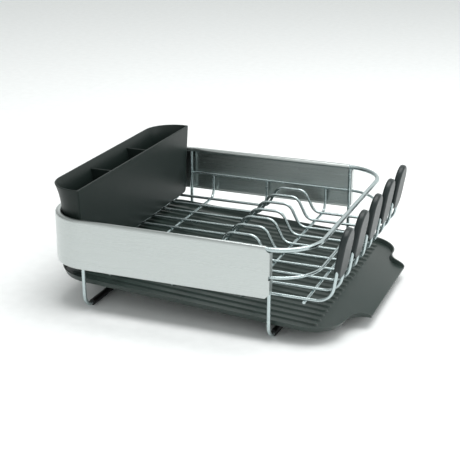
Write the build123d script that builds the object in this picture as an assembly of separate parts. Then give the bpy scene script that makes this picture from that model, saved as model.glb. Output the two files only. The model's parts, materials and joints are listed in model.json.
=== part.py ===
from build123d import *
from math import acos, atan, cos, degrees, radians, sin, sqrt, tan
import os

# Dish drying rack: a wire basket wrapped by a steel band, with a utensil caddy and a drain tray.
# Millimetres, +Z up, X along the length (caddy at -X, spout at +X), Y across, counter at z = 0.
# The origin is the middle of the footprint.

# top rim
LENGTH = 412.0                    # band at the caddy end to the lip of the spout
CORNER = 54.5                     # plan radius of the rim's corners
RIM_R = 3.0
RIM_Y = 177.4                     # centreline, front and back
RIM_Z = 122.0
RIM_RIGHT = 152.0                 # centreline at the prong end

# steel band
SHEET = 0.8
SHEET_GAP = 0.05                  # between the rim wire and the curl around it
CURL_SWEEP = 195.0                # from the outer face, over the rim, to the inner lip
CURL_END_R = 6.6                  # round cut that ends the curl
CURL_END_SHIFT = (0.6, 3.6)       # its middle from the end of the band and the rim's centreline
BAND_Z = 60.0                     # lower edge
BAND_END = 104.2                  # outer face of the return flanges
HEM_R = 1.3
FLANGE_DEPTH = 10.0
FLANGE_TOP = 118.4
CORNER_CUT = 6.2                  # off the lower corner of each end
RAIL_NOTCH_R = 2.8
CUT_THROUGH = 30.0                # length of the cutting shapes, more than any wall

# legs
LEG_R = 2.5
LEG_BEND = 18.0
LEG_X = (-149.3, 100.8)
LEG_TOP = RIM_Z - 1.5             # just under the lip of the curl
SLEEVE_R = 4.2
SLEEVE_HALF = 154.0
SLEEVE_EDGE = 0.6                 # rounding at the ends of the sleeves

# grid of long and cross wires
WIRE_R = 2.0
WELD = 0.05                       # depth by which welded wires sink into each other
GRID_Z = 55.4
PITCH = 33.8
PAIRS = 5
WIRE_START = -190.0
RAIL_Z = 86.8
RAIL_OVERHANG = 3.5               # past the posts at the caddy end
CROSS_X = (-165.0, -113.0, -27.0, 64.6, 139.0)
CROSS_BEND = 13.0
CROSS_STUB = 2.8                  # of the straight end wires, past the outer long wires

# hump in every long wire, which holds plates apart
HUMP_X = 18.8
HUMP_RISE = 31.0
HUMP_TOP_HALF = 20.5              # middle to upper corner, before rounding
HUMP_FOOT_HALF = 36.5
HUMP_BEND = 15.0

# cup prongs and their grips
LEAN = radians(9.0)               # outward from vertical
PRONG_X = 171.5                   # corner of the turn-up, before rounding
PRONG_BEND = 22.0
LOOP_BEND = 12.0
LOOP_RISE = 20.0                  # top of the wire loop above the middle of the grip
GRIP_Z = 114.4
GRIP_LENGTH = 63.6
GRIP_WIDTH = 40.0
GRIP_THICK = 8.5
GRIP_ROUND = 3.2

# utensil caddy, one entry per level from the foot to the flared mouth
CADDY_Z = (57.7, 120.0, 146.0, 161.0)
CADDY_RIGHT = (-154.6, -153.6, -153.2, -152.9)
CADDY_LEFT = (-192.0, -195.8, -198.6, -204.8)
CADDY_Y = (163.0, 166.8, 169.4, 171.2)
CADDY_CORNER = (30.0, 38.5, 41.0, 44.0)
CADDY_EDGE = 2.6                  # rounding around the flat side
CADDY_WALL = 2.2
CADDY_FLOOR = 2.5
CADDY_FOOT_ROUND = 7.0
CADDY_RIM_ROUND = 0.9             # along the mouth and the tops of the dividers
DIVIDER_Y = 53.5
DIVIDER_TOP = 152.5
DRAIN_SLOT = (24.0, 5.0)
DRAIN_ROWS = (2, 9)               # across the caddy and along it
DRAIN_PITCH = 14.0                # between the two rows
DRAIN_SHIFT = 2.0                 # of the rows towards the flat side

# drain tray, drawn flat and then tipped towards the spout
TRAY_TILT = atan(0.06)
TRAY_Z = 26.0                     # underside at the origin
TRAY_LEFT = -201.5
TRAY_Y = 163.0
TRAY_CORNER = 47.5
SHOULDER_CORNER = 43.5
SHOULDER_X = 179.2
SHOULDER_Y = 116.5
SPOUT_R = 29.5
SPOUT_FALL = 14.0                 # length over which the rim drops to the lip
TRAY_RIM = 7.5
TRAY_FLARE = 3.5
TRAY_WALL = 1.8
TRAY_FLOOR = 2.2
TRAY_RIBS = 21
RIB_PITCH = 14.3
RIB_WIDTH = 8.0
RIB_HEIGHT = 2.0
RIB_TAPER = 42.0                  # degrees, of the ribs' sides
RIB_X = (-182.0, 154.0)
RUNNER_Y = 60.0
RUNNER_X = (-185.0, 122.0)
RUNNER_THICK = 3.0
RUNNER_CLEARANCE = 0.3

# derived
BAND_OUT = RIM_R + SHEET_GAP + SHEET
RIM_LEFT = BAND_OUT - LENGTH / 2
RIM_REACH = sqrt(RIM_R**2 - (RIM_Z - LEG_TOP) ** 2)
LEG_Y = RIM_Y - RIM_REACH - LEG_R
RAIL_Y = LEG_Y + LEG_R + WIRE_R
RAIL_INSET = RIM_Y - RAIL_Y
CROSS_Z = GRID_Z - 2 * WIRE_R + WELD
CROSS_Y = RAIL_Y - 2 * WIRE_R + WELD
CROSS_TOP = RAIL_Z - 1.0
OUTER_WIRE_Y = (PAIRS - 0.5) * PITCH
GRIP_X = PRONG_X + (GRIP_Z - GRID_Z) * tan(LEAN)
TRAY_LIP = LENGTH / 2 / cos(TRAY_TILT) - TRAY_FLOOR * tan(TRAY_TILT)


def wire(radius, points, bends):
    """Round wire along straight runs joined by bends of the given radii."""
    path = FilletPolyline(*points, radius=bends)
    return sweep((path ^ 0) * Circle(radius), path=path)


def top_rim_wire():
    plan = RectangleRounded(RIM_RIGHT - RIM_LEFT, 2 * RIM_Y, CORNER)
    path = (Pos((RIM_LEFT + RIM_RIGHT) / 2, 0, RIM_Z) * plan).face().outer_wire()
    return sweep((path ^ 0) * Circle(RIM_R), path=path)


def mid_rail_wire():
    start = LEG_X[0] - RAIL_OVERHANG
    right = RIM_RIGHT - RAIL_INSET
    plan = [(start, RAIL_Y), (right, RAIL_Y), (right, -RAIL_Y), (start, -RAIL_Y)]
    return wire(WIRE_R, [(x, y, RAIL_Z) for x, y in plan], CORNER - RAIL_INSET)


def band_profile():
    """Section of the band, x outward from the rim's centreline and y up from it."""
    outer = CenterArc((0, 0), BAND_OUT, 0, CURL_SWEEP)
    inner = CenterArc((0, 0), BAND_OUT - SHEET, 0, CURL_SWEEP)
    ends = [Line(outer @ 0, inner @ 0), Line(outer @ 1, inner @ 1)]
    curl = make_face([outer, inner, *ends])
    hem_z = BAND_Z + HEM_R - RIM_Z
    wall = Pos(BAND_OUT - SHEET / 2, hem_z / 2) * Rectangle(SHEET, -hem_z)
    hem = Pos(BAND_OUT - HEM_R, hem_z) * Circle(HEM_R)
    return curl + wall + hem


def flange(side):
    """Return flange that closes one end of the band in front of the post."""
    bottom = BAND_Z + CORNER_CUT - 1
    size = (SHEET, FLANGE_DEPTH, FLANGE_TOP - bottom)
    y = RIM_Y + BAND_OUT - FLANGE_DEPTH / 2
    return Pos(BAND_END - SHEET / 2, side * y, (FLANGE_TOP + bottom) / 2) * Box(*size)


def end_cuts(side):
    """Round end of the curl, notch for the mid rail and cut lower corner, at one end."""
    y = side * (RIM_Y + BAND_OUT)
    across = Rot(X=90)
    shift_x, shift_z = CURL_END_SHIFT
    curl = Pos(BAND_END + shift_x, y, RIM_Z + shift_z) * across * Cylinder(CURL_END_R, CUT_THROUGH)
    corner = Pos(BAND_END, y, BAND_Z) * across * Rot(Z=45) * Box(CORNER_CUT * sqrt(2), 9, CUT_THROUGH)
    fold = Pos(BAND_END + RAIL_NOTCH_R / 2, y, RAIL_Z) * across * Cylinder(RAIL_NOTCH_R, 6)
    hole = Pos(BAND_END, side * (RAIL_Y - 0.2), RAIL_Z) * Rot(Y=90) * Cylinder(RAIL_NOTCH_R, 3)
    slot = Pos(BAND_END, side * (RAIL_Y + 2.5), RAIL_Z) * Box(3, 5, 2 * RAIL_NOTCH_R)
    return [curl, corner, fold, hole, slot]


def steel_band():
    plan = [(BAND_END, -RIM_Y), (RIM_LEFT, -RIM_Y), (RIM_LEFT, RIM_Y), (BAND_END, RIM_Y)]
    path = FilletPolyline(*[(x, y, RIM_Z) for x, y in plan], radius=CORNER)
    start = Plane(origin=path @ 0, x_dir=(0, -1, 0), z_dir=(-1, 0, 0))
    band = sweep(start * band_profile(), path=path)
    for side in (-1, 1):
        band += flange(side)
        band -= end_cuts(side)
    return band


def leg_frame(x):
    points = [(x, -LEG_Y, LEG_TOP), (x, -LEG_Y, SLEEVE_R), (x, LEG_Y, SLEEVE_R), (x, LEG_Y, LEG_TOP)]
    return wire(LEG_R, points, LEG_BEND)


def foot_sleeve(x):
    tube = Cylinder(SLEEVE_R, 2 * SLEEVE_HALF)
    tube = fillet(tube.edges().filter_by(GeomType.CIRCLE), SLEEVE_EDGE)
    tube -= Cylinder(LEG_R, 2 * SLEEVE_HALF + 2)
    return Pos(x, 0, SLEEVE_R) * Rot(X=90) * tube


def cross_wire(x, half, top):
    """Cross wire under the long wires, with both ends turned up."""
    points = [(x, -half, top), (x, -half, CROSS_Z), (x, half, CROSS_Z), (x, half, top)]
    return wire(WIRE_R, points, CROSS_BEND)


def straight_cross_wire(x):
    half = OUTER_WIRE_Y + CROSS_STUB
    return Pos(x, 0, CROSS_Z) * Rot(X=90) * Cylinder(WIRE_R, 2 * half)


def long_wire_pair(y):
    """One wire: over the hump at y, up the prong, across, and back the same way at y + PITCH."""
    hump_z = GRID_Z + HUMP_RISE
    loop_z = GRIP_Z + LOOP_RISE * cos(LEAN)
    side = [
        (WIRE_START, GRID_Z),
        (HUMP_X - HUMP_FOOT_HALF, GRID_Z),
        (HUMP_X - HUMP_TOP_HALF, hump_z),
        (HUMP_X + HUMP_TOP_HALF, hump_z),
        (HUMP_X + HUMP_FOOT_HALF, GRID_Z),
        (PRONG_X, GRID_Z),
        (PRONG_X + (loop_z - GRID_Z) * tan(LEAN), loop_z),
    ]
    out = [(x, y, z) for x, z in side]
    back = [(x, y + PITCH, z) for x, z in reversed(side)]
    bends = 4 * [HUMP_BEND] + [PRONG_BEND, LOOP_BEND]
    return wire(WIRE_R, out + back, bends + bends[::-1])


def cup_grip(y, loop):
    """Paddle moulded over the top of a prong's wire loop."""
    plane = Plane(origin=(GRIP_X, y, GRIP_Z), x_dir=(0, 1, 0), z_dir=(cos(LEAN), 0, -sin(LEAN)))
    face = plane * Rot(Z=90) * SlotOverall(GRIP_LENGTH, GRIP_WIDTH)
    grip = extrude(face, GRIP_THICK / 2, both=True)
    return fillet(grip.edges(), GRIP_ROUND) - loop


def caddy_section(level, inset=0.0, lift=0.0):
    """Plan of the caddy at one level, with a flat right side and large left corners."""
    left = CADDY_LEFT[level] + inset
    right = CADDY_RIGHT[level] - inset
    plan = Rectangle(right - left, 2 * (CADDY_Y[level] - inset))
    plan = fillet(plan.vertices().group_by(Axis.X)[0], CADDY_CORNER[level] - inset)
    return Pos((left + right) / 2, 0, CADDY_Z[level] + lift) * plan


def caddy_form(inset, lift):
    """Solid of the caddy's outside or, with an inset, of its inside."""
    form = loft([caddy_section(0, inset, lift), *[caddy_section(i, inset) for i in (1, 2, 3)]])
    foot = form.faces().sort_by(Axis.Z)[0].edges().sort_by(Axis.X)
    form = fillet(foot[:-1], CADDY_FOOT_ROUND - inset)
    flat = form.faces().sort_by(Axis.X)[-1].edges().sort_by(Axis.Z)
    return fillet(flat[:-1], CADDY_EDGE - inset)


def utensil_caddy():
    outside = caddy_form(0.0, 0.0)
    caddy = outside - caddy_form(CADDY_WALL, CADDY_FLOOR)
    height = DIVIDER_TOP - CADDY_Z[0]
    middle = (CADDY_LEFT[0] + CADDY_RIGHT[0]) / 2
    for y in (-DIVIDER_Y, DIVIDER_Y):
        slab = Pos(middle, y, CADDY_Z[0] + height / 2) * Box(2 * CUT_THROUGH, CADDY_WALL, height)
        slab = fillet(slab.edges().filter_by(Axis.X).group_by(Axis.Z)[-1], CADDY_RIM_ROUND)
        caddy += outside & slab
    slot = Rot(Z=90) * extrude(SlotOverall(*DRAIN_SLOT), CUT_THROUGH / 2, both=True)
    for spot in GridLocations(DRAIN_PITCH, 2 * DIVIDER_Y / 3, *DRAIN_ROWS):
        caddy -= Pos(middle + DRAIN_SHIFT, 0, CADDY_Z[0]) * spot * slot
    mouth = caddy.faces().filter_by(Plane.XY).sort_by(Axis.Z)[-1]
    return fillet(mouth.edges(), CADDY_RIM_ROUND)


def tray_plan(grow, lip):
    """Plan of the tray grown sideways: round corners, then S-shaped shoulders to the lip."""
    left, right = TRAY_LEFT + TRAY_CORNER, SHOULDER_X - SHOULDER_CORNER
    spout = (SHOULDER_X + SPOUT_R, SHOULDER_Y)
    spout_r = SPOUT_R - grow
    sweep_angle = degrees(acos((spout[0] - lip) / spout_r))
    half = [
        CenterArc((left, TRAY_Y - TRAY_CORNER), TRAY_CORNER + grow, 180, -90),
        Line((left, TRAY_Y + grow), (right, TRAY_Y + grow)),
        CenterArc((right, TRAY_Y - SHOULDER_CORNER), SHOULDER_CORNER + grow, 90, -90),
        Line((SHOULDER_X + grow, TRAY_Y - SHOULDER_CORNER), (SHOULDER_X + grow, SHOULDER_Y)),
        CenterArc(spout, spout_r, 180, sweep_angle),
    ]
    other = [edge.mirror(Plane.XZ) for edge in half]
    ends = [Line(half[0] @ 0, other[0] @ 0), Line(half[-1] @ 1, other[-1] @ 1)]
    return make_face([*half, *other, *ends])


def tray_basin(grow, lip, bottom, top):
    """Flared solid between two heights, grown sideways at the underside by grow."""
    slope = TRAY_FLARE / TRAY_RIM
    levels = [Pos(0, 0, z) * tray_plan(grow + slope * z, lip) for z in (bottom, top)]
    return loft(levels, ruled=True)


def tray_rib(y):
    length = RIB_X[1] - RIB_X[0]
    base = Pos((RIB_X[0] + RIB_X[1]) / 2, y, TRAY_FLOOR) * SlotOverall(length, RIB_WIDTH)
    return extrude(base, RIB_HEIGHT, taper=RIB_TAPER)


def tray_runner(y):
    """Wedge under the tray, level at its foot, which rides on the sleeves of both legs."""
    foot = 2 * SLEEVE_R + RUNNER_CLEARANCE
    tops = [TRAY_Z - x * tan(TRAY_TILT) + 0.5 for x in RUNNER_X]
    corners = [(RUNNER_X[0], foot), (RUNNER_X[1], foot), (RUNNER_X[1], tops[1]), (RUNNER_X[0], tops[0])]
    side = Plane.XZ.offset(-y) * make_face(Polyline(*corners, close=True))
    return extrude(side, RUNNER_THICK / 2, both=True)


def drain_tray():
    tray = tray_basin(0.0, TRAY_LIP, 0.0, TRAY_RIM)
    tray -= tray_basin(-TRAY_WALL, TRAY_LIP + 2, TRAY_FLOOR, TRAY_RIM + 1)
    start = TRAY_LIP - SPOUT_FALL
    keep = Pos(start, TRAY_FLOOR) * Ellipse(SPOUT_FALL, TRAY_RIM - TRAY_FLOOR)
    above = Pos(start + SPOUT_FALL, TRAY_FLOOR + TRAY_RIM) * Rectangle(2 * SPOUT_FALL, 2 * TRAY_RIM)
    tray -= extrude(Plane.XZ * (above - keep), 2 * TRAY_Y, both=True)
    first = -(TRAY_RIBS - 1) / 2 * RIB_PITCH
    tray += [tray_rib(first + i * RIB_PITCH) for i in range(TRAY_RIBS)]
    tray = Pos(0, 0, TRAY_Z) * Rot(Y=degrees(TRAY_TILT)) * tray
    return tray + [tray_runner(y) for y in (-RUNNER_Y, RUNNER_Y)]


def build():
    """All pieces by node name."""
    nodes = {
        "steel_band": steel_band(),
        "top_rim_wire": top_rim_wire(),
        "mid_rail_wire": mid_rail_wire(),
        "utensil_caddy": utensil_caddy(),
        "drain_tray": drain_tray(),
        "cross_wire_1": straight_cross_wire(CROSS_X[0]),
        "cross_wire_5": straight_cross_wire(CROSS_X[-1]),
    }
    for i, x in enumerate(CROSS_X[1:-1], start=2):
        nodes[f"cross_wire_{i}"] = cross_wire(x, CROSS_Y, CROSS_TOP)
    for end, x in zip(("caddy_end", "prong_end"), LEG_X):
        nodes[f"leg_frame_{end}"] = leg_frame(x)
        nodes[f"foot_sleeve_{end}"] = foot_sleeve(x)
    for i in range(PAIRS):
        y = (2 * i - PAIRS + 0.5) * PITCH
        loop = long_wire_pair(y)
        nodes[f"long_wire_pair_{i + 1}"] = loop
        nodes[f"cup_grip_{i + 1}"] = cup_grip(y + PITCH / 2, loop)
    return nodes


if __name__ == "__main__":
    os.makedirs("parts", exist_ok=True)
    for name, shape in build().items():
        export_step(shape, f"parts/{name}.step")
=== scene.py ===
import json
from math import radians

import bpy
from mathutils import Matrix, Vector

# camera, at the photograph's angle
CAMERA_PLACE = (0.49728, -1.29553, 0.58403)
AZIMUTH = radians(21.67)
ELEVATION = radians(20.26)
SENSOR = 36
LENS = 85.4

# studio
FLOOR_SIZE = 60
SKY_LOW = (0.97, 1.0, 0.99, 1)
SKY_TOP = (0.42, 0.44, 0.43, 1)
SKY_TURN = 0.45                   # height, 0 level and 1 overhead, from which the sky darkens towards the top
SKY_SIDE = (-1.0, -0.2)           # stretch of X, from beyond the caddy end, over which the sky brightens
SKY_STRENGTH = (0.35, 1.0)        # strength of the sky at the two ends of that stretch

NOISE_BAND = (0.3, 0.7)           # the middle part of a noise, which is spread over a look's range

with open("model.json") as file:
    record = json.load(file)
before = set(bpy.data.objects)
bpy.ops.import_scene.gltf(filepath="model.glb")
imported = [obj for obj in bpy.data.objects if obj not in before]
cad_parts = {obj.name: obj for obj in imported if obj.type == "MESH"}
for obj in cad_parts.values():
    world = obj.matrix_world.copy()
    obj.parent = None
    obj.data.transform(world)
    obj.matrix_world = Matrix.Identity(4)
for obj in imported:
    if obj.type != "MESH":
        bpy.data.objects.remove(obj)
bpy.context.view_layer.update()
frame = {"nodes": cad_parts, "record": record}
nodes = frame["nodes"]
slots = {s["node"]: s["material_slot"] for s in frame["record"]["subparts"]}


class Nodes:
    """Short way to add and link shader nodes in one material or world."""

    def __init__(self, tree):
        self.tree = tree

    def add(self, kind, values=None, **settings):
        node = self.tree.nodes.new(kind)
        for name, value in settings.items():
            setattr(node, name, value)
        for name, value in (values or {}).items():
            node.inputs[name].default_value = value
        return node

    def link(self, out, to):
        self.tree.links.new(out, to)

    def stretched_noise(self, stretch, scale):
        """Noise in the object's own space, with a factor for each axis."""
        place = self.add("ShaderNodeTexCoord").outputs["Object"]
        mapping = self.add("ShaderNodeMapping", {"Scale": stretch})
        noise = self.add("ShaderNodeTexNoise", {"Scale": scale, "Detail": 3.0})
        self.link(place, mapping.inputs["Vector"])
        self.link(mapping.outputs["Vector"], noise.inputs["Vector"])
        return noise.outputs["Fac"]

    def colour_ramp(self, value, low, high):
        """Maps the middle of a noise to the colours low..high."""
        node = self.add("ShaderNodeValToRGB")
        for stop, place, colour in zip(node.color_ramp.elements, NOISE_BAND, (low, high)):
            stop.position = place
            stop.color = (*colour, 1)
        self.link(value, node.inputs["Fac"])
        return node.outputs["Color"]

    def number_ramp(self, value, low, high):
        """Maps the middle of a noise to the numbers low..high."""
        start, end = NOISE_BAND
        spread = {"From Min": start, "From Max": end, "To Min": low, "To Max": high}
        node = self.add("ShaderNodeMapRange", spread)
        self.link(value, node.inputs["Value"])
        return node.outputs["Result"]


def material(name, grain, colours, roughness, bump, **shader):
    """Procedural material: one noise drives colour, roughness and a fine bump.

    grain is the noise's factor for each axis and its scale, colours and roughness are ranges, and bump is
    a strength and a height in metres.
    """
    made = bpy.data.materials.new(name)
    made.use_nodes = True
    kit = Nodes(made.node_tree)
    surface = made.node_tree.nodes["Principled BSDF"]
    for socket, value in shader.items():
        surface.inputs[socket.replace("_", " ")].default_value = value
    value = kit.stretched_noise(*grain)
    kit.link(kit.colour_ramp(value, *colours), surface.inputs["Base Color"])
    kit.link(kit.number_ramp(value, *roughness), surface.inputs["Roughness"])
    relief = kit.add("ShaderNodeBump", {"Strength": bump[0], "Distance": bump[1]})
    kit.link(value, relief.inputs["Height"])
    kit.link(relief.outputs["Normal"], surface.inputs["Normal"])
    return made


def brushed(metal):
    """Turns the metal's stretched reflections upright, across the brushing."""
    kit = Nodes(metal.node_tree)
    around = kit.add("ShaderNodeTangent", direction_type="RADIAL", axis="Z")
    kit.link(around.outputs["Tangent"], metal.node_tree.nodes["Principled BSDF"].inputs["Tangent"])
    return metal


looks = {
    "band_steel": brushed(material(
        "band_steel", grain=((3, 3, 4000), 1.0), colours=((0.54, 0.575, 0.565), (0.59, 0.625, 0.615)),
        roughness=(0.26, 0.32), bump=(0.03, 0.0001),
        Metallic=1.0, Anisotropic=0.85, Anisotropic_Rotation=0.25)),
    "wire_steel": material(
        "wire_steel", grain=((1, 1, 1), 60.0), colours=((0.47, 0.545, 0.55), (0.50, 0.575, 0.58)),
        roughness=(0.24, 0.28), bump=(0.0, 0.0001), Metallic=1.0),
    "grip_plastic": material(
        "grip_plastic", grain=((1, 1, 1), 900.0), colours=((0.009, 0.016, 0.016), (0.012, 0.020, 0.020)),
        roughness=(0.33, 0.39), bump=(0.04, 0.0001), IOR=1.42),
    "sleeve_rubber": material(
        "sleeve_rubber", grain=((1, 1, 1), 500.0), colours=((0.004, 0.004, 0.004), (0.007, 0.007, 0.007)),
        roughness=(0.40, 0.55), bump=(0.10, 0.0001), IOR=1.4),
    "caddy_plastic": material(
        "caddy_plastic", grain=((1, 1, 1), 500.0), colours=((0.009, 0.015, 0.013), (0.012, 0.019, 0.017)),
        roughness=(0.38, 0.44), bump=(0.03, 0.0001), IOR=1.33),
    "tray_plastic": material(
        "tray_plastic", grain=((1, 1, 1), 900.0), colours=((0.017, 0.029, 0.025), (0.022, 0.036, 0.031)),
        roughness=(0.30, 0.36), bump=(0.04, 0.0001)),
}
for name, node in nodes.items():
    node.data.materials.clear()
    node.data.materials.append(looks[slots[name]])


def stage_floor():
    bpy.ops.mesh.primitive_plane_add(size=FLOOR_SIZE, location=(0, 0, 0))
    floor = bpy.context.object
    floor.name = "floor"
    floor.data.materials.append(material(
        "floor_paper", grain=((1, 1, 1), 60.0), colours=((0.88, 0.89, 0.89), (0.92, 0.93, 0.93)),
        roughness=(0.85, 0.95), bump=(0.02, 0.0005)))


def area_light(name, place, aim, side, energy):
    """Square soft light of the given side, pointed at aim."""
    data = bpy.data.lights.new(name, "AREA")
    data.shape = "RECTANGLE"
    data.size = side
    data.size_y = side
    data.energy = energy
    light = bpy.data.objects.new(name, data)
    bpy.context.scene.collection.objects.link(light)
    light.location = place
    light.rotation_euler = (Vector(aim) - Vector(place)).to_track_quat("-Z", "Y").to_euler()


def studio_sky():
    """Even light from all around, weaker from above and from beyond the caddy end."""
    world = bpy.data.worlds.new("studio")
    world.use_nodes = True
    sky = Nodes(world.node_tree)
    background = world.node_tree.nodes["Background"]
    direction = sky.add("ShaderNodeSeparateXYZ")
    sky.link(sky.add("ShaderNodeTexCoord").outputs["Generated"], direction.inputs["Vector"])
    height = sky.add("ShaderNodeValToRGB")
    height.color_ramp.elements[0].color = SKY_LOW
    height.color_ramp.elements[1].color = SKY_TOP
    height.color_ramp.elements.new(SKY_TURN).color = SKY_LOW
    sky.link(direction.outputs["Z"], height.inputs["Fac"])
    start, end = SKY_SIDE
    dark, full = SKY_STRENGTH
    spread = {"From Min": start, "From Max": end, "To Min": dark, "To Max": full}
    side = sky.add("ShaderNodeMapRange", spread)
    sky.link(direction.outputs["X"], side.inputs["Value"])
    sky.link(height.outputs["Color"], background.inputs["Color"])
    sky.link(side.outputs["Result"], background.inputs["Strength"])
    bpy.context.scene.world = world


def add_camera():
    data = bpy.data.cameras.new("camera")
    data.sensor_width = SENSOR
    data.lens = LENS
    camera = bpy.data.objects.new("camera", data)
    bpy.context.scene.collection.objects.link(camera)
    camera.location = CAMERA_PLACE
    camera.rotation_euler = (radians(90) - ELEVATION, 0, AZIMUTH)
    bpy.context.scene.camera = camera


stage_floor()
area_light("overhead", place=(0.3, 0.2, 2.0), aim=(0, 0, 0.05), side=1.6, energy=34)
area_light("right", place=(2.2, 0.6, 1.2), aim=(0.1, 0, 0.1), side=1.4, energy=8)
studio_sky()
bpy.context.scene.view_settings.view_transform = "Standard"
add_camera()
